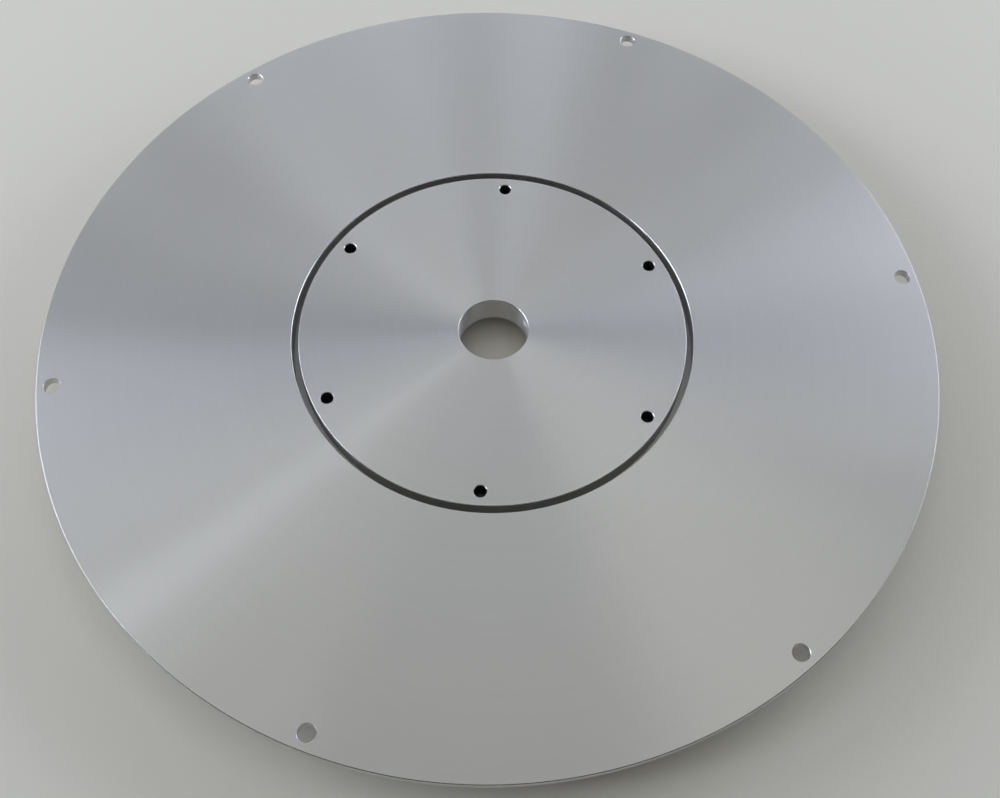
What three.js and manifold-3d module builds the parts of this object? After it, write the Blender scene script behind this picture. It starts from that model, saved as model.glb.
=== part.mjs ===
// Low banding wheel: an annular aluminium wheelhead that spins on a caged ball race
// round a fixed hub disc. Millimetres, +Z up, origin on the table under the spin axis.
import * as THREE from 'three';
import { mergeVertices } from 'three/addons/utils/BufferGeometryUtils.js';
import Module from 'manifold-3d';

const wasm = await Module();
wasm.setup();

// Wheelhead and hub.
const WHEEL_R = 150;
const TOP = 16;
const STOCK = 10;
const RIM = 3;
const WHEEL_BORE_R = 67.6;
const HUB_R = 65.3;
const HUB_BORE_R = 11.8;
const GAP_DEPTH = 6.5;
const EDGE = 0.4;
const FIT = 0.3;

// Six-hole patterns; the wheelhead rests turned a little from the hub.
const SIX = 6;
const HUB_HOLES_R = 60.3;
const HUB_TAP_R = 2.1;
const RIM_HOLES_R = 144.8;
const RIM_HOLE_R = 2.75;
const HUB_TURN = THREE.MathUtils.degToRad(30);
const WHEEL_TURN = THREE.MathUtils.degToRad(12.65);

// Base plate and feet.
const FOOT_R = 6;
const FOOT_CIRCLE_R = 82;
const FOOT_STAND = 2.5;
const FOOT_SEAT = 0.5;
const BASE_THICK = 3;
const BASE_R = 96;
const BASE_OPEN_R = 18;
const BASE_TOP = FOOT_STAND + BASE_THICK;

// Ball race.
const BALLS = 18;
const BALL_R = 1.985;
const BALL_PLAY = 0.04;
const PITCH_R = 85;
const GROOVE_R = 2.2;
const GROOVE_DEPTH = 0.6;
const RACE_THICK = 2;
const RACE_SEAT = 0.5;
const RACE_IN = 79;
const RACE_OUT = 91;
const LOWER_RACE_TOP = BASE_TOP - RACE_SEAT + RACE_THICK;
const RACE_GAP = 2 * (BALL_R + BALL_PLAY - GROOVE_DEPTH);
const UPPER_RACE_BOTTOM = LOWER_RACE_TOP + RACE_GAP;
const BALL_Z = LOWER_RACE_TOP + RACE_GAP / 2;
const CAGE_THICK = 1.6;
const CAGE_HALF_WIDTH = 4.4;

// Hold-down: a keeper ring under the wheelhead hooks beneath the hub's flange.
const FLANGE_R = 72;
const FLANGE_THICK = 1.8;
const FLANGE_TOP = TOP - GAP_DEPTH;
const FLANGE_BOTTOM = FLANGE_TOP - FLANGE_THICK;
const HUB_WAIST_R = 67.5;
const KEEPER_IN = 68;
const KEEPER_OUT = 78.3;
const KEEPER_THICK = 1.5;
const KEEPER_TOP = FLANGE_BOTTOM - FIT;
const KEEPER_BOTTOM = KEEPER_TOP - KEEPER_THICK;
const KEEPER_SCREWS_R = 75.3;
const KEEPER_TAP_R = 1.3;
const KEEPER_TAP_DEPTH = 5.5;

// Flat head screws: radii of head, shank and thread core, then heights along the axis.
const BASE_SCREW = { head: 4.6, shank: 2.5, core: 1.85, cone: 2.1, length: 9, hex: 1.73, deep: 1.6 };
const KEEPER_SCREW = { head: 2.3, shank: 1.1, core: 1, cone: 1.1, length: 6, hex: 0.87, deep: 0.7 };
const SCREW_LIP = 0.2;
const SCREW_SINK = 0.1;

// Facets round a full turn.
const BIG_FACETS = 60;
const CAGE_FACETS = 54;
const SMALL_FACETS = 12;
const BALL_FACETS = 10;
const GROOVE_STEPS = 4;

const turnedAluminium = () => material(0xb9bdc2, 0.32, 1);
const sheetAluminium = () => material(0x9a9da0, 0.5, 0.9);
const raceSteel = () => material(0x8d9094, 0.25, 1);
const ballSteel = () => material(0xd0d3d6, 0.1, 1);
const blackSteel = () => material(0x3a3b3d, 0.45, 0.9);
const rubber = () => material(0x1b1b1c, 0.9, 0);
const nylon = () => material(0xdcd8c8, 0.6, 0);

function material(color, roughness, metalness) {
  return new THREE.MeshStandardMaterial({ color, roughness, metalness });
}

// Closed solid from a three.js geometry.
function solid(geometry) {
  geometry.deleteAttribute('normal');
  geometry.deleteAttribute('uv');
  const welded = mergeVertices(geometry, 1e-4);
  return new wasm.Manifold(new wasm.Mesh({
    numProp: 3,
    vertProperties: new Float32Array(welded.attributes.position.array),
    triVerts: new Uint32Array(welded.index.array),
  }));
}

// Turned solid about Z: [radius, height] corners from the bottom, both ends on the axis.
function turn(corners, facets) {
  const outline = corners.map(([radius, height]) => new THREE.Vector2(radius, height));
  return solid(new THREE.LatheGeometry(outline, facets).rotateX(Math.PI / 2));
}

// Turned ring about Z: [radius, height] corners anticlockwise, closing on themselves.
const turnRing = (corners, facets) => turn([...corners, corners[0]], facets);

// Upright round bar or cone between two heights.
function bar(radius, bottom, top, facets = SMALL_FACETS, topRadius = radius) {
  const cylinder = new THREE.CylinderGeometry(topRadius, radius, top - bottom, facets);
  return solid(cylinder.rotateX(Math.PI / 2).translate(0, 0, (bottom + top) / 2));
}

// Centres evenly spaced round the spin axis.
function spread(count, radius, start) {
  return Array.from({ length: count }, (_, i) => {
    const angle = start + (i * 2 * Math.PI) / count;
    return [radius * Math.cos(angle), radius * Math.sin(angle), 0];
  });
}

const hubHoles = spread(SIX, HUB_HOLES_R, HUB_TURN);
const rimHoles = spread(SIX, RIM_HOLES_R, WHEEL_TURN);
const keeperHoles = spread(SIX, KEEPER_SCREWS_R, WHEEL_TURN);
const footSeats = spread(SIX, FOOT_CIRCLE_R, 0);
const pockets = spread(BALLS, PITCH_R, 0);

function cutAt(body, tool, centres) {
  return centres.reduce((left, centre) => left.subtract(tool.translate(centre)), body);
}

function place(parent, name, body, look) {
  const { vertProperties, triVerts } = body.getMesh();
  const geometry = new THREE.BufferGeometry();
  geometry.setAttribute('position', new THREE.BufferAttribute(vertProperties, 3));
  geometry.setIndex(new THREE.BufferAttribute(triVerts, 1));
  geometry.computeVertexNormals();
  const mesh = new THREE.Mesh(geometry, look);
  mesh.name = name;
  parent.add(mesh);
}

function placeEach(parent, name, body, look, centres) {
  centres.forEach((centre, i) => {
    place(parent, `${name}_${i + 1}`, body.translate(centre), look);
  });
}

// Tool for a through hole with a chamfered upper mouth.
function topChamferedHole(radius, bottom, top) {
  const clear = 1;
  const wide = radius + EDGE;
  return bar(radius, bottom - clear, top - EDGE)
    .add(bar(radius, top - EDGE, top, SMALL_FACETS, wide))
    .add(bar(wide, top, top + clear));
}

// The turned plate: a thin rim, and a deep boss round its bore that houses the upper race.
function wheelhead() {
  const rimBottom = TOP - RIM;
  const skirtBottom = TOP - STOCK;
  const bossTop = UPPER_RACE_BOTTOM + RACE_THICK;
  const taper = 6;
  const plate = turnRing([
    [WHEEL_BORE_R, FLANGE_TOP + FIT],
    [FLANGE_R + FIT, FLANGE_TOP + FIT],
    [FLANGE_R + FIT, KEEPER_TOP],
    [RACE_IN - FIT, KEEPER_TOP],
    [RACE_IN - FIT, bossTop],
    [RACE_OUT + FIT, bossTop],
    [RACE_OUT + FIT, skirtBottom],
    [BASE_R, skirtBottom],
    [BASE_R + taper, rimBottom],
    [WHEEL_R - EDGE, rimBottom],
    [WHEEL_R, rimBottom + EDGE],
    [WHEEL_R, TOP - EDGE],
    [WHEEL_R - EDGE, TOP],
    [WHEEL_BORE_R + EDGE, TOP],
    [WHEEL_BORE_R, TOP - EDGE],
  ], BIG_FACETS);
  const drilled = cutAt(plate, topChamferedHole(RIM_HOLE_R, rimBottom, TOP), rimHoles);
  const tap = bar(KEEPER_TAP_R, KEEPER_TOP - 1, KEEPER_TOP + KEEPER_TAP_DEPTH);
  return cutAt(drilled, tap, keeperHoles);
}

// The fixed centre disc, flush with the wheelhead; its flange is the floor of the gap.
function hubDisc() {
  const disc = turnRing([
    [HUB_BORE_R, BASE_TOP],
    [HUB_WAIST_R, BASE_TOP],
    [HUB_WAIST_R, FLANGE_BOTTOM],
    [FLANGE_R, FLANGE_BOTTOM],
    [FLANGE_R, FLANGE_TOP],
    [HUB_R, FLANGE_TOP],
    [HUB_R, TOP - EDGE],
    [HUB_R - EDGE, TOP],
    [HUB_BORE_R + EDGE, TOP],
    [HUB_BORE_R, TOP - EDGE],
  ], BIG_FACETS);
  return cutAt(disc, topChamferedHole(HUB_TAP_R, BASE_TOP, TOP), hubHoles);
}

// Screw driven upwards: its flat head with a hex socket is at the bottom.
function screw({ head, shank, core, cone, length, hex, deep }, face, grip) {
  const tip = core / 3;
  const body = turn([
    [0, face],
    [head, face],
    [head, face + SCREW_LIP],
    [shank, face + SCREW_LIP + cone],
    [shank, face + grip],
    [core, face + grip],
    [core, face + length - tip],
    [core - tip, face + length],
    [0, face + length],
  ], SMALL_FACETS);
  return body.subtract(bar(hex, face - 1, face + deep, SIX));
}

// Tool for the countersunk hole that takes such a screw.
function countersink({ head, shank, cone }, face, top) {
  const wide = head + FIT;
  const narrow = shank + FIT;
  const coneBottom = face + SCREW_SINK + SCREW_LIP;
  return bar(wide, face - 1, coneBottom)
    .add(bar(wide, coneBottom, coneBottom + cone, SMALL_FACETS, narrow))
    .add(bar(narrow, coneBottom + cone, top + 1));
}

// Fixed plate under the wheel: seats for the lower race, the hub's screws and the feet.
function basePlate() {
  const raceSeat = BASE_TOP - RACE_SEAT;
  const plate = turnRing([
    [BASE_OPEN_R, FOOT_STAND],
    [BASE_R - EDGE, FOOT_STAND],
    [BASE_R, FOOT_STAND + EDGE],
    [BASE_R, BASE_TOP],
    [RACE_OUT + FIT, BASE_TOP],
    [RACE_OUT + FIT, raceSeat],
    [RACE_IN - FIT, raceSeat],
    [RACE_IN - FIT, BASE_TOP],
    [BASE_OPEN_R, BASE_TOP],
  ], BIG_FACETS);
  const drilled = cutAt(plate, countersink(BASE_SCREW, FOOT_STAND, BASE_TOP), hubHoles);
  const footSeat = bar(FOOT_R + FIT, FOOT_STAND - 1, FOOT_STAND + FOOT_SEAT);
  return cutAt(drilled, footSeat, footSeats);
}

function keeperRing() {
  const ring = turnRing([
    [KEEPER_IN, KEEPER_BOTTOM],
    [KEEPER_OUT, KEEPER_BOTTOM],
    [KEEPER_OUT, KEEPER_TOP],
    [KEEPER_IN, KEEPER_TOP],
  ], BIG_FACETS);
  return cutAt(ring, countersink(KEEPER_SCREW, KEEPER_BOTTOM, KEEPER_TOP), keeperHoles);
}

// Flat race washer with a round-bottomed groove in its face; `up` is 1 or -1.
function race(face, up) {
  const back = face - up * RACE_THICK;
  const grooveCentre = face + up * (GROOVE_R - GROOVE_DEPTH);
  const reach = Math.acos((GROOVE_R - GROOVE_DEPTH) / GROOVE_R);
  const groove = Array.from({ length: GROOVE_STEPS + 1 }, (_, i) => {
    const angle = reach * (1 - (2 * i) / GROOVE_STEPS);
    const radius = PITCH_R + GROOVE_R * Math.sin(angle);
    return [radius, grooveCentre - up * GROOVE_R * Math.cos(angle)];
  });
  const corners = [[RACE_IN, back], [RACE_OUT, back], [RACE_OUT, face], ...groove, [RACE_IN, face]];
  return turnRing(up > 0 ? corners : corners.reverse(), BIG_FACETS);
}

function ballCage() {
  const bottom = BALL_Z - CAGE_THICK / 2;
  const top = BALL_Z + CAGE_THICK / 2;
  const ring = turnRing([
    [PITCH_R - CAGE_HALF_WIDTH, bottom],
    [PITCH_R + CAGE_HALF_WIDTH, bottom],
    [PITCH_R + CAGE_HALF_WIDTH, top],
    [PITCH_R - CAGE_HALF_WIDTH, top],
  ], CAGE_FACETS);
  return cutAt(ring, bar(BALL_R + FIT, bottom - 1, top + 1), pockets);
}

function ball() {
  const sphere = new THREE.SphereGeometry(BALL_R, BALL_FACETS, BALL_FACETS - 2);
  return solid(sphere.rotateX(Math.PI / 2).translate(0, 0, BALL_Z));
}

// Rubber pad, a little narrower where it meets the table.
function foot() {
  const crown = 0.8;
  const top = FOOT_STAND + FOOT_SEAT;
  return turn([
    [0, 0],
    [FOOT_R - crown, 0],
    [FOOT_R, crown],
    [FOOT_R, top],
    [0, top],
  ], SMALL_FACETS);
}

function fixedBase() {
  const base = new THREE.Group();
  const baseScrew = screw(BASE_SCREW, FOOT_STAND + SCREW_SINK, BASE_THICK - SCREW_SINK);
  place(base, 'hub_disc', hubDisc(), turnedAluminium());
  place(base, 'base_plate', basePlate(), sheetAluminium());
  place(base, 'lower_race', race(LOWER_RACE_TOP, 1), raceSteel());
  placeEach(base, 'base_screw', baseScrew, blackSteel(), hubHoles);
  placeEach(base, 'foot', foot(), rubber(), footSeats);
  return base;
}

function spinningHead() {
  const head = new THREE.Group();
  const keeperScrew = screw(KEEPER_SCREW, KEEPER_BOTTOM + SCREW_SINK, KEEPER_THICK - SCREW_SINK);
  place(head, 'wheelhead', wheelhead(), turnedAluminium());
  place(head, 'upper_race', race(UPPER_RACE_BOTTOM, -1), raceSteel());
  place(head, 'keeper_ring', keeperRing(), sheetAluminium());
  placeEach(head, 'keeper_screw', keeperScrew, blackSteel(), keeperHoles);
  return head;
}

function ballSet() {
  const set = new THREE.Group();
  place(set, 'ball_cage', ballCage(), nylon());
  placeEach(set, 'ball', ball(), ballSteel(), pockets);
  return set;
}

const group = new THREE.Group();
group.name = 'banding_wheel';
group.add(fixedBase(), spinningHead(), ballSet());

export default group;
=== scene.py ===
"""Looks for the low banding wheel: turned aluminium, steel, rubber and nylon on a pale table."""
import math

import bpy
from mathutils import Matrix, Vector


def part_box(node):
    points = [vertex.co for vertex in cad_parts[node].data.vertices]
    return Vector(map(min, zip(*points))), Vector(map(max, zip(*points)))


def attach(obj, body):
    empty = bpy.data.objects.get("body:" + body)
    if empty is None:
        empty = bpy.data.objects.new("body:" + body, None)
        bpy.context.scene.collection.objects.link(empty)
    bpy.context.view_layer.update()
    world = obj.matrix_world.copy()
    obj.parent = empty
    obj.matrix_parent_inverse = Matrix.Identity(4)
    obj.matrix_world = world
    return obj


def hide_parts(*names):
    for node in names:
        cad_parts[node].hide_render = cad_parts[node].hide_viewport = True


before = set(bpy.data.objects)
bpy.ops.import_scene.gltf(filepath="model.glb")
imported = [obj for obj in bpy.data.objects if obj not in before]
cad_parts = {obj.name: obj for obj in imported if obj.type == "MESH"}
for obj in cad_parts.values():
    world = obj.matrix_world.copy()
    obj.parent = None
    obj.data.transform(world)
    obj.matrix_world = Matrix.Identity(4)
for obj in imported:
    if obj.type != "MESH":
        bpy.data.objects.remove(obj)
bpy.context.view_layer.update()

MM = 0.001
TURN = 2 * math.pi
SIX = 6
BALLS = 18

# Turned radii that the nodes' boxes don't give.
WHEEL_BORE = 67.6 * MM
HUB_DISC = 65.3 * MM
HUB_BORE = 11.8 * MM
HUB_WAIST = 67.5 * MM
FLANGE_CLEAR = 72.3 * MM
BASE_OPENING = 18 * MM
RACE_INSIDE = 79 * MM
KEEPER_INSIDE = 68 * MM
CAGE_INSIDE = 80.6 * MM
PITCH = 85 * MM

# Thicknesses, depths and slopes.
RIM_THICK = 3 * MM
GAP_DEPTH = 6.5 * MM
FLANGE_THICK = 1.8 * MM
FIT = 0.3 * MM
TAPER = 6 * MM
GROOVE = {"radius": 2.2 * MM, "depth": 0.6 * MM}

# Chamfers on the turned edges, and the small rounds at corners.
EDGE = 0.27 * MM
BORE_EDGE = 0.15 * MM
HUB_EDGE = 0.15 * MM
SKIN = 0.005 * MM
SOFT = 0.06 * MM
SKIRT_ROUND = 0.5 * MM
TAPER_ROUND = 2 * MM
SMALL_ROUND = 0.3 * MM

# Holes, screws and threads.
RIM_HOLE_CIRCLE = 144.8 * MM
RIM_HOLE = 2.75 * MM
RIM_HOLE_START = math.radians(12.65)
RIM_BEVEL = 0.15 * MM
TAP_BEVEL = 0.2 * MM
CAGE_BEVEL = 0.25 * MM
M5 = {"core": 2.1 * MM, "depth": 0.38 * MM, "pitch": 0.8 * MM}
M2_5 = {"core": 1.03 * MM, "depth": 0.2 * MM, "pitch": 0.45 * MM}
SCREW_PLAY = 0.03 * MM
SHANK_PLAY = 0.25 * MM
SHANK_ROOM = 6 * MM
HEAD_LIP = 0.2 * MM
SOCKET = {"across": 0.38, "depth": 0.18, "bevel": 0.12}  # shares of the head radius or the screw length
MOUTH_TIP = 0.1 * MM
PAST = 1 * MM

# Rubber feet.
CROWN = 0.9 * MM
DIMPLE = {"radius": 2.2 * MM, "depth": 0.3 * MM}

# Smoothness of the fine meshes.
BIG = 360
SMALL = 48
TINY = 32
CORNER_STEPS = 3
CROWN_STEPS = 6
GROOVE_STEPS = 16
BALL_BANDS = 20
THREAD_STEPS = 6
SHARP = math.radians(38)

# Colours of the materials.
ALUMINIUM = (0.78, 0.77, 0.755)
# Painted shade: a darker metal tint that stands in for the shade down in the gap between wheelhead and hub.
GAP_SHADE_TINT = (0.58, 0.575, 0.56)
RACE_STEEL = (0.52, 0.53, 0.55)
SHEET = ((0.42, 0.43, 0.44, 1), (0.56, 0.57, 0.58, 1))
BLACK_OXIDE = (0.035, 0.036, 0.04, 1)
WORN_STEEL = (0.32, 0.31, 0.3, 1)
# Painted shade: two near-black tones that stand in for the shade inside the deep tapped holes.
HOLE_SHADE_TONES = ((0.018, 0.018, 0.02, 1), (0.05, 0.05, 0.055, 1))
BALL_STEEL = ((0.62, 0.63, 0.65, 1), (0.72, 0.73, 0.74, 1))
RUBBER = (0.018, 0.018, 0.019, 1)
RUBBER_DUST = (0.075, 0.073, 0.07, 1)
NYLON = ((0.66, 0.63, 0.54, 1), (0.74, 0.72, 0.64, 1))
TABLE_TINTS = ((0.895, 0.86, 0.765, 1), (0.915, 0.88, 0.785, 1))

# Heights of the surface textures.
SWELL_DEPTH = 0.02 * MM
GRAIN_DEPTH = 0.01 * MM
PEBBLE_DEPTH = 0.04 * MM
TABLE_DEPTH = 0.06 * MM
NICK_REACH = 0.6 * MM

# Light colours, and the room: pale walls close by, and pairs of small lamps behind.
WARM = (0.96, 0.97, 0.87)
NEUTRAL = (0.94, 0.97, 1.0)
COOL = (0.815, 0.87, 1.0)
AMBIENT = 0.12
LIGHT_DISTANCE = 2.0
WALL_DISTANCE = 1.2
WALL_ELEVATION = 20
WALL_WIDTH = 0.8
WALL_HEIGHT = 0.4
WALLS = 13
WALL_START = 90
WALL_STEP = 15
WALL_POWER = 0.6
FAN_ELEVATION = 52
FAN_LAMP = (0.02, 0.15)
FAN_PAIRS = 3
FAN_START = 180.5
FAN_STEP = 6.5
PAIR_GAP = 2
FAN_POWER = 0.05

# Camera: standing close over the wheel, looking down past its centre.
CAMERA_DISTANCE = 411.8 * MM
CAMERA_AZIMUTH = math.radians(4.22)
CAMERA_ELEVATION = math.radians(57.14)
CAMERA_ROLL = math.radians(3.62)
CAMERA_AIM = (17.5 * MM, -25.9 * MM)
LENS = 43.83
SHIFT = -0.0416
NEAREST = 0.01

TABLE_SPAN = 4.0

wheel_low, wheel_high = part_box("wheelhead")
hub_low, hub_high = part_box("hub_disc")
base_low, base_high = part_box("base_plate")
WHEEL = wheel_high.x
TOP = wheel_high.z


# ---------------------------------------------------------------- meshes

def rounded(corners):
    """Closed outline of (radius, height[, round]) corners, each corner a small arc."""
    outline = []
    for i, corner in enumerate(corners):
        here = Vector(corner[:2])
        size = corner[2] if len(corner) > 2 else SOFT
        before = Vector(corners[i - 1][:2]) - here
        after = Vector(corners[(i + 1) % len(corners)][:2]) - here
        if size == 0:
            outline.append(here)
            continue
        start = here + before.normalized() * min(size, before.length / 3)
        end = here + after.normalized() * min(size, after.length / 3)
        for step in range(CORNER_STEPS + 1):
            t = step / CORNER_STEPS
            outline.append(start * (1 - t) ** 2 + here * 2 * t * (1 - t) + end * t ** 2)
    return outline


def mesh_piece(name, look, vertices, faces):
    """New mesh object; a tool that leaves the cut surface's own look has none."""
    mesh = bpy.data.meshes.new(name)
    mesh.from_pydata([tuple(v) for v in vertices], [], faces)
    mesh.validate()
    if look:
        mesh.materials.append(look)
    piece = bpy.data.objects.new(name, mesh)
    bpy.context.scene.collection.objects.link(piece)
    return piece


def lathe(name, look, outline, facets=BIG):
    """Ring turned about Z from a closed outline."""
    rows = len(outline)
    vertices = []
    for step in range(facets):
        angle = TURN * step / facets
        for radius, height in outline:
            vertices.append((radius * math.cos(angle), radius * math.sin(angle), height))
    faces = []
    for step in range(facets):
        here = step * rows
        there = (step + 1) % facets * rows
        for row in range(rows):
            up = (row + 1) % rows
            faces.append((here + row, there + row, there + up, here + up))
    return mesh_piece(name, look, vertices, faces)


def shaft(name, look, outline, facets=SMALL, thread=None):
    """Solid turned about Z from an outline that runs from bottom to top, closed by two caps.
    A thread adds to the radius by height and angle."""
    vertices = []
    for radius, height in outline:
        for step in range(facets):
            angle = TURN * step / facets
            reach = radius + (thread(height, angle) if thread else 0)
            vertices.append((reach * math.cos(angle), reach * math.sin(angle), height))
    faces = [tuple(reversed(range(facets)))]
    last = len(outline) - 1
    for row in range(last):
        low = row * facets
        high = low + facets
        for step in range(facets):
            side = (step + 1) % facets
            faces.append((low + step, low + side, high + side, high + step))
    faces.append(tuple(range(last * facets, (last + 1) * facets)))
    return mesh_piece(name, look, vertices, faces)


def helix(size, low, high):
    """Thread as a function of height and angle: a V that climbs one pitch each turn."""
    def lift(height, angle):
        inside = min(height - low, high - height) / (size["pitch"] / 2)
        if inside <= 0:
            return 0
        phase = (height / size["pitch"] - angle / TURN) % 1
        return size["depth"] * min(inside, 1) * (1 - abs(2 * phase - 1))
    return lift


def thread_rows(size, low, high, radius):
    """Outline points close enough together to carry a thread."""
    count = max(2, round((high - low) / (size["pitch"] / THREAD_STEPS)))
    return [(radius, low + (high - low) * i / count) for i in range(count + 1)]


def spread(count, circle, start=0.0):
    """Points evenly spaced round the spin axis."""
    angles = [start + TURN * i / count for i in range(count)]
    return [Vector((circle * math.cos(a), circle * math.sin(a), 0)) for a in angles]


def centres_of(name, count=SIX):
    """Where the CAD has each of a set of small pieces, in plan."""
    centres = []
    for i in range(1, count + 1):
        low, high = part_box(f"{name}_{i}")
        middle = (low + high) / 2
        centres.append(Vector((middle.x, middle.y, 0)))
    return centres


def settle(piece):
    """Bakes a piece's modifiers into its mesh."""
    graph = bpy.context.evaluated_depsgraph_get()
    final = bpy.data.meshes.new_from_object(piece.evaluated_get(graph))
    piece.modifiers.clear()
    piece.data = final


def drill(piece, cutter, centres):
    """Cuts the same tool out of a piece at each centre."""
    tools = []
    for centre in centres:
        tool = cutter.copy()
        tool.data = cutter.data.copy()
        tool.data.transform(Matrix.Translation(centre))
        bpy.context.scene.collection.objects.link(tool)
        tools.append(tool)
        cut = piece.modifiers.new("cut", "BOOLEAN")
        cut.operation = "DIFFERENCE"
        cut.solver = "EXACT"
        cut.material_mode = "TRANSFER"
        cut.object = tool
    settle(piece)
    for tool in [*tools, cutter]:
        bpy.data.objects.remove(tool)


def hole_tool(radius, low, high, bevel):
    """Drill for a plain through hole with bevelled mouths."""
    wide = radius + bevel
    return shaft("tool", None, [
        (wide, low - PAST),
        (wide, low),
        (radius, low + bevel),
        (radius, high - bevel),
        (wide, high),
        (wide, high + PAST),
    ])


def tap_tool(size, low, high):
    """Tap for a threaded hole whose thread stops a little below the top."""
    bottom = low - PAST
    start = high - size["pitch"] / 2
    outline = [*thread_rows(size, bottom, start, size["core"]), (size["core"], high + PAST)]
    # The tap's near-black look is painted shade for the depth of the hole; the cut hands it to the hole
    # walls.
    return shaft("tool", HOLE_SHADE_LOOK, outline, TINY, helix(size, bottom, start))


def mouth_tool(radius, high, bevel):
    """Light countersink at the top of a hole."""
    return shaft("tool", None, [
        (radius - MOUTH_TIP, high - bevel - MOUTH_TIP),
        (radius + bevel, high),
        (radius + bevel, high + PAST),
    ])


def countersink_tool(head, size):
    """Clearance hole for a flat head screw that comes from below."""
    radius, face, _ = head
    wide = radius + 3 * SCREW_PLAY
    seat = face + SHANK_PLAY
    shank = size["core"] + size["depth"] + SHANK_PLAY
    return shaft("tool", None, [
        (wide, face - PAST),
        (wide, seat),
        (shank, seat + radius - shank),
        (shank, face + SHANK_ROOM),
    ])


def stain(piece, look, reach, heights):
    """Gives another look to the faces in a range of radii and a range of heights."""
    piece.data.materials.append(look)
    slot = len(piece.data.materials) - 1
    for face in piece.data.polygons:
        radius = face.center.xy.length
        if reach[0] < radius < reach[1] and heights[0] < face.center.z < heights[1]:
            face.material_index = slot


def smooth(piece):
    """Smooth shading that keeps flats flat and edges over the sharp angle crisp."""
    piece.data.shade_smooth()
    piece.data.set_sharp_from_angle(angle=SHARP)
    weigh = piece.modifiers.new("flats", "WEIGHTED_NORMAL")
    weigh.keep_sharp = True
    weigh.weight = 100
    settle(piece)


def place(piece, node, body):
    """Gives a finished piece its place in the frame."""
    smooth(piece)
    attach(piece, body)
    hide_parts(node)


# ---------------------------------------------------------------- materials

def feed(tree, socket, value):
    """Fills a socket with a value, or links another node's socket to it."""
    if isinstance(value, bpy.types.NodeSocket):
        tree.links.new(value, socket)
    else:
        socket.default_value = value


def add(tree, kind, inputs, **settings):
    """Adds a shader node with its settings and inputs."""
    made = tree.nodes.new("ShaderNode" + kind)
    for key, value in settings.items():
        setattr(made, key, value)
    for key, value in inputs.items():
        feed(tree, made.inputs[key], value)
    return made


def start_look(name):
    """New material: its node tree, its surface shader and the piece's own coordinates."""
    look = bpy.data.materials.new("look_" + name)
    look.use_nodes = True
    tree = look.node_tree
    surface = tree.nodes["Principled BSDF"]
    point = add(tree, "TexCoord", {}).outputs["Object"]
    return look, tree, surface, point


def noise(tree, point, scale, detail, rough):
    """Noise in space, about 0.5 on average; scale is in cells to the metre."""
    inputs = {"Vector": point, "Scale": scale, "Detail": detail, "Roughness": rough}
    return add(tree, "TexNoise", inputs).outputs["Fac"]


def ring_noise(tree, radius, scale, detail, rough):
    """Noise that only changes with radius, for rings a cutting tool leaves."""
    inputs = {"W": radius, "Scale": scale, "Detail": detail, "Roughness": rough}
    return add(tree, "TexNoise", inputs, noise_dimensions="1D").outputs["Fac"]


def remap(tree, value, low, high, start=0.0, end=1.0):
    """Stretches a value from start..end to low..high."""
    inputs = {"Value": value, "From Min": start, "From Max": end, "To Min": low, "To Max": high}
    return add(tree, "MapRange", inputs).outputs["Result"]


def arithmetic(tree, operation, first, second=0.0):
    """One math node."""
    return add(tree, "Math", {0: first, 1: second}, operation=operation).outputs[0]


def mixed(tree, factor, first, second):
    """Blend of two colours; the node's factor and colour sockets go by their place."""
    made = add(tree, "Mix", {}, data_type="RGBA")
    for socket, value in zip((0, 6, 7), (factor, first, second)):
        feed(tree, made.inputs[socket], value)
    return made.outputs[2]


def axis_distance(tree, point):
    """Distance from the spin axis."""
    flat = add(tree, "VectorMath", {0: point, 1: (1, 1, 0)}, operation="MULTIPLY").outputs[0]
    return add(tree, "VectorMath", {0: flat}, operation="LENGTH").outputs["Value"]


def bump(tree, height, distance):
    """Surface normal tilted by a height pattern."""
    inputs = {"Height": height, "Distance": distance, "Strength": 1.0}
    return add(tree, "Bump", inputs).outputs["Normal"]


def nicks(tree, radius, point):
    """Small dings along the turned edges: 1 on a ding, 0 elsewhere."""
    near = None
    for edge in (WHEEL, WHEEL_BORE, HUB_DISC, HUB_BORE):
        away = arithmetic(tree, "ABSOLUTE", arithmetic(tree, "SUBTRACT", radius, edge))
        band = remap(tree, away, low=1, high=0, end=NICK_REACH)
        near = arithmetic(tree, "MAXIMUM", near, band) if near else band
    spots = remap(tree, noise(tree, point, 420, 2, 0.6), low=0, high=1, start=0.6, end=0.66)
    return arithmetic(tree, "MULTIPLY", near, spots)


def turned_look(name, tint, rough, stretch):
    """Lathe-faced metal: concentric tool marks, so its highlights stretch out from the centre."""
    look, tree, surface, point = start_look(name)
    radius = axis_distance(tree, point)
    rings = ring_noise(tree, radius, 420, 2, 0.6)
    handling = noise(tree, point, 22, 2, 0.5)
    swell = noise(tree, point, 16, 1, 0.5)
    dings = nicks(tree, radius, point)

    shade = arithmetic(tree, "MULTIPLY", remap(tree, rings, 0.985, 1.015), remap(tree, handling, 0.98, 1.02))
    shade = arithmetic(tree, "MULTIPLY", shade, remap(tree, dings, 1, 1.12))
    colour = add(tree, "VectorMath", {0: tint, "Scale": shade}, operation="SCALE").outputs[0]
    tree.links.new(colour, surface.inputs["Base Color"])

    wiped = remap(tree, handling, rough - 0.008, rough + 0.008)
    gloss = arithmetic(tree, "ADD", remap(tree, rings, -0.004, 0.004), wiped)
    gloss = arithmetic(tree, "ADD", gloss, remap(tree, dings, 0, 0.1))
    tree.links.new(gloss, surface.inputs["Roughness"])

    surface.inputs["Metallic"].default_value = 1
    surface.inputs["Anisotropic"].default_value = stretch
    surface.inputs["Anisotropic Rotation"].default_value = 0.25
    tangent = add(tree, "Tangent", {}, direction_type="RADIAL", axis="Z").outputs[0]
    tree.links.new(tangent, surface.inputs["Tangent"])
    tree.links.new(bump(tree, swell, SWELL_DEPTH), surface.inputs["Normal"])
    return look


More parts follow.
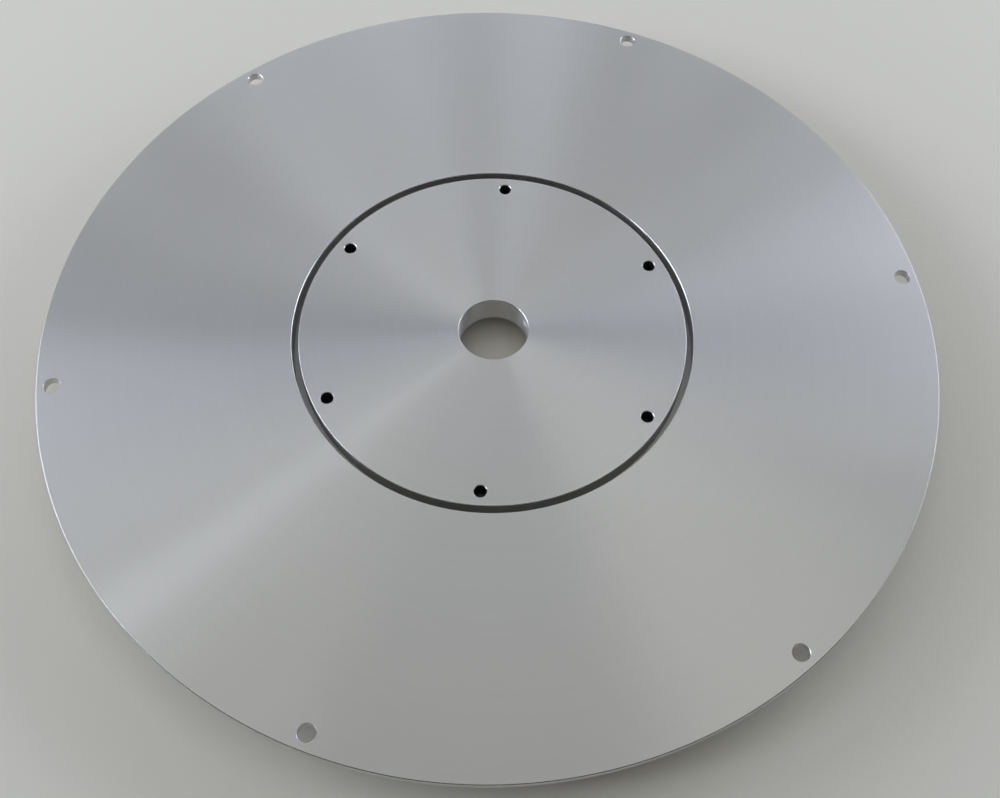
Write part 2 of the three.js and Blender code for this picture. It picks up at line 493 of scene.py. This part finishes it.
def sheet_look():
    """Rolled sheet aluminium: fine straight grain and scuffs."""
    look, tree, surface, point = start_look("sheet_aluminium")
    stretched = add(tree, "Mapping", {"Vector": point, "Scale": (30, 900, 900)}).outputs[0]
    grain = noise(tree, stretched, 1, 4, 0.6)
    scuffs = noise(tree, point, 60, 4, 0.7)
    tree.links.new(mixed(tree, grain, *SHEET), surface.inputs["Base Color"])
    gloss = arithmetic(tree, "ADD", remap(tree, grain, -0.05, 0.05), remap(tree, scuffs, 0.36, 0.52))
    tree.links.new(gloss, surface.inputs["Roughness"])
    surface.inputs["Metallic"].default_value = 1
    tree.links.new(bump(tree, grain, GRAIN_DEPTH), surface.inputs["Normal"])
    return look


def screw_look():
    """Black oxide: nearly black, worn to steel on its proud edges."""
    look, tree, surface, point = start_look("black_steel")
    edges = add(tree, "NewGeometry", {}).outputs["Pointiness"]
    patchy = noise(tree, point, 1500, 3, 0.6)
    proud = arithmetic(tree, "ADD", edges, arithmetic(tree, "MULTIPLY", patchy, 0.06))
    worn = remap(tree, proud, low=0, high=0.7, start=0.56, end=0.62)
    tree.links.new(mixed(tree, worn, BLACK_OXIDE, WORN_STEEL), surface.inputs["Base Color"])
    tree.links.new(remap(tree, patchy, 0.32, 0.5), surface.inputs["Roughness"])
    surface.inputs["Metallic"].default_value = 0.9
    tree.links.new(bump(tree, patchy, GRAIN_DEPTH), surface.inputs["Normal"])
    return look


def hole_shade_look():
    """Inside of a tapped hole: painted shade, near-black walls that stand in for the shade deep in the hole,
    with a fine mottled noise.
    """
    look, tree, surface, point = start_look("tapped_holes_painted_shade")
    dust = noise(tree, point, 1800, 3, 0.6)
    tree.links.new(mixed(tree, dust, *HOLE_SHADE_TONES), surface.inputs["Base Color"])
    tree.links.new(remap(tree, dust, 0.4, 0.6), surface.inputs["Roughness"])
    surface.inputs["Metallic"].default_value = 0.7
    tree.links.new(bump(tree, dust, GRAIN_DEPTH), surface.inputs["Normal"])
    return look


def polished_look():
    """Polished ball steel with faint scuffs."""
    look, tree, surface, point = start_look("ball_steel")
    scuffs = noise(tree, point, 700, 4, 0.65)
    tree.links.new(mixed(tree, scuffs, *BALL_STEEL), surface.inputs["Base Color"])
    tree.links.new(remap(tree, scuffs, 0.05, 0.14), surface.inputs["Roughness"])
    surface.inputs["Metallic"].default_value = 1
    return look


def rubber_look():
    """Moulded rubber: matt, finely pebbled, a little dusty."""
    look, tree, surface, point = start_look("foot_rubber")
    pebble = noise(tree, point, 2500, 2, 0.5)
    dust = noise(tree, point, 260, 4, 0.7)
    dusty = remap(tree, dust, low=0, high=0.5, start=0.45, end=0.8)
    tree.links.new(mixed(tree, dusty, RUBBER, RUBBER_DUST), surface.inputs["Base Color"])
    tree.links.new(remap(tree, dust, 0.72, 0.95), surface.inputs["Roughness"])
    surface.inputs["Specular IOR Level"].default_value = 0.35
    tree.links.new(bump(tree, pebble, PEBBLE_DEPTH), surface.inputs["Normal"])
    return look


def nylon_look():
    """Natural moulded nylon, slightly waxy."""
    look, tree, surface, point = start_look("cage_nylon")
    cloud = noise(tree, point, 180, 3, 0.6)
    fine = noise(tree, point, 3000, 2, 0.5)
    tree.links.new(mixed(tree, cloud, *NYLON), surface.inputs["Base Color"])
    tree.links.new(remap(tree, cloud, 0.42, 0.58), surface.inputs["Roughness"])
    surface.inputs["Subsurface Weight"].default_value = 0.15
    surface.inputs["Subsurface Scale"].default_value = 1 * MM
    tree.links.new(bump(tree, fine, GRAIN_DEPTH), surface.inputs["Normal"])
    return look


def table_look():
    """Matt off-white table top with a barely visible texture."""
    look, tree, surface, point = start_look("table_top")
    fine = noise(tree, point, 400, 3, 0.6)
    broad = noise(tree, point, 6, 2, 0.5)
    tree.links.new(mixed(tree, broad, *TABLE_TINTS), surface.inputs["Base Color"])
    tree.links.new(remap(tree, fine, 0.5, 0.62), surface.inputs["Roughness"])
    surface.inputs["Specular IOR Level"].default_value = 0.5
    tree.links.new(bump(tree, fine, TABLE_DEPTH), surface.inputs["Normal"])
    return look


# ---------------------------------------------------------------- pieces

def wheelhead():
    """Turned annular plate: thin rim, thick boss over the ball race, chamfered edges, six rim holes."""
    rim_bottom = TOP - RIM_THICK
    floor = TOP - GAP_DEPTH + FIT
    keeper_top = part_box("keeper_ring")[1].z
    race_top, race_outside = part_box("upper_race")[1].z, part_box("upper_race")[1].x
    pocket_in, pocket_out = RACE_INSIDE - FIT, race_outside + FIT
    skirt = base_high.x
    plate = lathe("wheelhead_plate", ALUMINIUM_LOOK, rounded([
        (WHEEL_BORE, floor),
        (FLANGE_CLEAR, floor),
        (FLANGE_CLEAR, keeper_top),
        (pocket_in, keeper_top),
        (pocket_in, race_top),
        (pocket_out, race_top),
        (pocket_out, wheel_low.z),
        (skirt, wheel_low.z, SKIRT_ROUND),
        (skirt + TAPER, rim_bottom, TAPER_ROUND),
        (WHEEL - EDGE, rim_bottom),
        (WHEEL, rim_bottom + EDGE),
        (WHEEL, TOP - EDGE),
        (WHEEL - EDGE, TOP),
        (WHEEL_BORE + BORE_EDGE, TOP),
        (WHEEL_BORE, TOP - BORE_EDGE),
    ]))
    # Painted shade: the bore wall and the faces down in the gap take the darker gap tint.
    stain(plate, GAP_SHADE_LOOK, (0, FLANGE_CLEAR), (0, TOP - BORE_EDGE))
    stain(plate, CHAMFER_LOOK, (0, WHEEL), (TOP - EDGE, TOP - SKIN))
    holes = spread(SIX, RIM_HOLE_CIRCLE, RIM_HOLE_START)
    drill(plate, hole_tool(RIM_HOLE, rim_bottom, TOP, RIM_BEVEL), holes)
    place(plate, "wheelhead", "head")


def hub():
    """Turned centre disc with a low flange, a centre bore and six tapped holes."""
    flange_top = TOP - GAP_DEPTH
    flange_bottom = flange_top - FLANGE_THICK
    disc = lathe("hub_plate", ALUMINIUM_LOOK, rounded([
        (HUB_BORE, hub_low.z),
        (HUB_WAIST, hub_low.z),
        (HUB_WAIST, flange_bottom),
        (hub_high.x, flange_bottom),
        (hub_high.x, flange_top),
        (HUB_DISC, flange_top, SMALL_ROUND),
        (HUB_DISC, TOP - HUB_EDGE),
        (HUB_DISC - HUB_EDGE, TOP),
        (HUB_BORE + HUB_EDGE, TOP),
        (HUB_BORE, TOP - HUB_EDGE),
    ]))
    # Painted shade: the hub's outer wall and flange top, down in the gap, take the darker gap tint.
    stain(disc, GAP_SHADE_LOOK, (HUB_DISC - SOFT, hub_high.x), (0, TOP - HUB_EDGE))
    stain(disc, CHAMFER_LOOK, (0, HUB_DISC), (TOP - HUB_EDGE, TOP - SKIN))
    holes = centres_of("base_screw")
    drill(disc, tap_tool(M5, hub_low.z, TOP), holes)
    drill(disc, mouth_tool(M5["core"], TOP, TAP_BEVEL), holes)
    place(disc, "hub_disc", "base")


def base_plate():
    """Fixed plate with a centre opening, a seat for the race, screw holes and seats for the feet."""
    race_low, race_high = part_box("lower_race")
    seat_in, seat_out = RACE_INSIDE - FIT, race_high.x + FIT
    plate = lathe("base_ring", SHEET_LOOK, rounded([
        (BASE_OPENING, base_low.z),
        (base_high.x - EDGE, base_low.z),
        (base_high.x, base_low.z + EDGE),
        (base_high.x, base_high.z),
        (seat_out, base_high.z),
        (seat_out, race_low.z),
        (seat_in, race_low.z),
        (seat_in, base_high.z),
        (BASE_OPENING, base_high.z),
    ]))
    drill(plate, countersink_tool(screw_head("base_screw_1"), M5), centres_of("base_screw"))
    foot_low, foot_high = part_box("foot_1")
    foot_seat = (foot_high.x - foot_low.x) / 2 + FIT
    seat_tool = shaft("tool", None, [(foot_seat, base_low.z - PAST), (foot_seat, foot_high.z)])
    drill(plate, seat_tool, centres_of("foot"))
    place(plate, "base_plate", "base")


def keeper_ring():
    """Flat ring screwed under the wheelhead; it hooks beneath the hub's flange."""
    low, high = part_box("keeper_ring")
    ring = lathe("keeper_hook", SHEET_LOOK, rounded([
        (KEEPER_INSIDE, low.z),
        (high.x, low.z),
        (high.x, high.z),
        (KEEPER_INSIDE, high.z),
    ]))
    drill(ring, countersink_tool(screw_head("keeper_screw_1"), M2_5), centres_of("keeper_screw"))
    place(ring, "keeper_ring", "head")


def race(name, node, body, up):
    """Race washer with a ground groove for the balls, facing up (1) or down (-1)."""
    low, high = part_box(node)
    face, back = (high.z, low.z) if up > 0 else (low.z, high.z)
    radius = GROOVE["radius"]
    rise = radius - GROOVE["depth"]
    middle = face + up * rise
    reach = math.acos(rise / radius)
    angles = [reach * (1 - 2 * i / GROOVE_STEPS) for i in range(GROOVE_STEPS + 1)]
    arc = [(PITCH + radius * math.sin(a), middle - up * radius * math.cos(a), 0) for a in angles]
    corners = [(RACE_INSIDE, back), (high.x, back), (high.x, face), *arc, (RACE_INSIDE, face)]
    ring = lathe(name, RACE_LOOK, rounded(corners if up > 0 else corners[::-1]))
    place(ring, node, body)


def ball_radius():
    """Radius of one ball, from its CAD box."""
    low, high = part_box("ball_1")
    return (high.z - low.z) / 2


def ball_cage():
    """Nylon ring with a bevelled pocket for each ball."""
    low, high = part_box("ball_cage")
    ring = lathe("cage_ring", NYLON_LOOK, rounded([
        (CAGE_INSIDE, low.z, SMALL_ROUND),
        (high.x, low.z, SMALL_ROUND),
        (high.x, high.z, SMALL_ROUND),
        (CAGE_INSIDE, high.z, SMALL_ROUND),
    ]))
    pocket = ball_radius() + FIT
    mouth = pocket + CAGE_BEVEL + PAST
    pocket_tool = shaft("tool", None, [
        (mouth, low.z - PAST),
        (pocket, low.z + CAGE_BEVEL),
        (pocket, high.z - CAGE_BEVEL),
        (mouth, high.z + PAST),
    ])
    drill(ring, pocket_tool, centres_of("ball", BALLS))
    place(ring, "ball_cage", "ball_set")


def balls():
    """Polished steel balls."""
    radius = ball_radius()
    low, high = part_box("ball_1")
    height = (low.z + high.z) / 2
    angles = [math.pi * (i + 0.5) / (BALL_BANDS + 1) for i in range(BALL_BANDS + 1)]
    outline = [(radius * math.sin(a), height - radius * math.cos(a)) for a in angles]
    for i, centre in enumerate(centres_of("ball", BALLS)):
        sphere = shaft(f"steel_ball_{i + 1}", BALL_LOOK, outline)
        sphere.data.transform(Matrix.Translation(centre))
        place(sphere, f"ball_{i + 1}", "ball_set")


def screw_head(node):
    """Radius, underside and tip height of a flat head screw, from its CAD box."""
    low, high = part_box(node)
    return (high.x - low.x) / 2, low.z, high.z


def screws(name, size, body):
    """Flat head socket screws with real threads, driven upwards."""
    radius, face, tip = screw_head(f"{name}_1")
    shank = size["core"] - SCREW_PLAY
    crest = shank + size["depth"]
    under = face + HEAD_LIP + radius - crest
    point = tip - shank / 2
    outline = [(radius - SOFT, face), (radius, face + SOFT), (radius, face + HEAD_LIP), (crest, under)]
    outline += thread_rows(size, under + size["pitch"] / 4, point, shank)
    outline += [(shank * 2 / 3, tip)]
    across = radius * SOCKET["across"]
    depth = (tip - face) * SOCKET["depth"]
    bevel = radius * SOCKET["bevel"]
    for i, centre in enumerate(centres_of(name)):
        bolt = shaft(f"{name}_bolt_{i + 1}", SCREW_LOOK, outline, SMALL, helix(size, under, point))
        socket_tool = shaft("tool", None, [
            (across + bevel + PAST, face - PAST),
            (across, face + bevel),
            (across, face + depth),
            (across / 4, face + depth + across / 2),
        ], SIX)
        drill(bolt, socket_tool, [Vector()])
        bolt.data.transform(Matrix.Translation(centre))
        place(bolt, f"{name}_{i + 1}", body)


def feet():
    """Rubber pads: crowned edge, flat sole with a shallow dimple."""
    low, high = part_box("foot_1")
    radius = (high.x - low.x) / 2
    dimple, depth = DIMPLE["radius"], DIMPLE["depth"]
    sole = [
        (dimple * 0.2, low.z + depth),
        (dimple * 0.7, low.z + depth * 0.8),
        (dimple, low.z + depth * 0.15),
        (dimple + depth, low.z),
    ]
    angles = [math.pi / 2 * i / CROWN_STEPS for i in range(CROWN_STEPS + 1)]
    edge = [(radius - CROWN + CROWN * math.sin(a), low.z + CROWN - CROWN * math.cos(a)) for a in angles]
    outline = [*sole, *edge, (radius, high.z - SOFT), (radius - SOFT, high.z)]
    for i, centre in enumerate(centres_of("foot")):
        pad = shaft(f"rubber_pad_{i + 1}", RUBBER_LOOK, outline)
        pad.data.transform(Matrix.Translation(centre))
        place(pad, f"foot_{i + 1}", "base")


# ---------------------------------------------------------------- room, lights and camera

def table():
    """Plain pale table top under the wheel."""
    span = TABLE_SPAN
    corners = [(-span, -span, 0), (span, -span, 0), (span, span, 0), (-span, span, 0)]
    top = mesh_piece("table_top", table_look(), corners, [(0, 1, 2, 3)])


def toward(azimuth, elevation):
    """Direction from the wheel; azimuth 0 is on the user's side, a quarter turn is on the right."""
    return Vector((
        math.sin(azimuth) * math.cos(elevation),
        -math.cos(azimuth) * math.cos(elevation),
        math.sin(elevation),
    ))


def softbox(name, azimuth, elevation, size, power, colour, shape="ELLIPSE", distance=LIGHT_DISTANCE):
    """Soft light of a given width and height aimed at the wheel, placed by degrees."""
    away = toward(math.radians(azimuth), math.radians(elevation))
    lamp = bpy.data.lights.new(name, "AREA")
    lamp.shape = shape
    lamp.size, lamp.size_y = size
    lamp.energy = power
    lamp.color = colour
    holder = bpy.data.objects.new(name, lamp)
    holder.location = away * distance
    holder.rotation_euler = away.to_track_quat("Z", "Y").to_euler()
    bpy.context.scene.collection.objects.link(holder)


def wall(name, azimuth, width, power):
    """Lit stretch of a low pale wall."""
    softbox(name, azimuth, WALL_ELEVATION, (width, WALL_HEIGHT), power, COOL, distance=WALL_DISTANCE)


def surroundings(colour, strength):
    """Dim even light from everywhere."""
    world = bpy.data.worlds.new("room")
    world.use_nodes = True
    back = world.node_tree.nodes["Background"]
    back.inputs["Color"].default_value = (*colour, 1)
    back.inputs["Strength"].default_value = strength
    bpy.context.scene.world = world


def lights():
    """Warm ceiling, an even cool wall with two brighter stretches, a window on the left, fan lamps."""
    surroundings(NEUTRAL, AMBIENT)
    softbox("ceiling", 180, 85, (2.0, 2.0), 3.0, WARM)
    softbox("left_high", 270, 60, (1.6, 1.2), 1.0, WARM)
    softbox("right_high", 120, 65, (1.4, 1.0), 0.85, WARM)
    softbox("back_high", 184, 62, (1.6, 0.8), 0.55, COOL)
    for i in range(WALLS):
        wall(f"wall_{i + 1}", WALL_START + WALL_STEP * i, WALL_WIDTH, WALL_POWER)
    wall("bright_wall_right", 123, 1.0, 3.2)
    wall("bright_wall_left", 263, 0.8, 4)
    softbox("window", 285, 30, (1.2, 1.0), 3.5, COOL)
    softbox("window_core", 287, 28, (0.25, 0.8), 2.6, COOL)
    for i in range(2 * FAN_PAIRS):
        azimuth = FAN_START + FAN_STEP * (i // 2) + PAIR_GAP * (i % 2)
        softbox(f"fan_lamp_{i + 1}", azimuth, FAN_ELEVATION, FAN_LAMP, FAN_POWER, COOL, "RECTANGLE")


def camera():
    """The viewing angle, framed by its aim, roll and a small shift."""
    lens = bpy.data.cameras.new("camera")
    lens.lens = LENS
    lens.shift_x = SHIFT
    lens.clip_start = NEAREST
    holder = bpy.data.objects.new("camera", lens)
    holder.location = Vector((0, 0, TOP)) + toward(CAMERA_AZIMUTH, CAMERA_ELEVATION) * CAMERA_DISTANCE
    aim = Vector((*CAMERA_AIM, TOP))
    look = (holder.location - aim).to_track_quat("Z", "Y").to_matrix().to_4x4()
    holder.rotation_euler = (look @ Matrix.Rotation(CAMERA_ROLL, 4, "Z")).to_euler()
    bpy.context.scene.collection.objects.link(holder)
    bpy.context.scene.camera = holder


ALUMINIUM_LOOK = turned_look("turned_aluminium", ALUMINIUM, rough=0.288, stretch=1.0)
CHAMFER_LOOK = turned_look("turned_chamfer", ALUMINIUM, rough=0.17, stretch=0.2)
RACE_LOOK = turned_look("race_steel", RACE_STEEL, rough=0.25, stretch=0.5)
SHEET_LOOK = sheet_look()
SCREW_LOOK = screw_look()
# Next look: painted shade for the inside of the tapped holes.
HOLE_SHADE_LOOK = hole_shade_look()
# Next look: painted shade, a darker turned metal for the faces in the gap between the parts.
GAP_SHADE_LOOK = turned_look("gap_painted_shade", GAP_SHADE_TINT, rough=0.3, stretch=1.0)
BALL_LOOK = polished_look()
RUBBER_LOOK = rubber_look()
NYLON_LOOK = nylon_look()

wheelhead()
hub()
base_plate()
race("race_below", "lower_race", "base", 1)
race("race_above", "upper_race", "head", -1)
keeper_ring()
ball_cage()
balls()
screws("base_screw", M5, "base")
screws("keeper_screw", M2_5, "head")
feet()

table()
camera()
lights()
bpy.context.scene.view_settings.view_transform = "Standard"
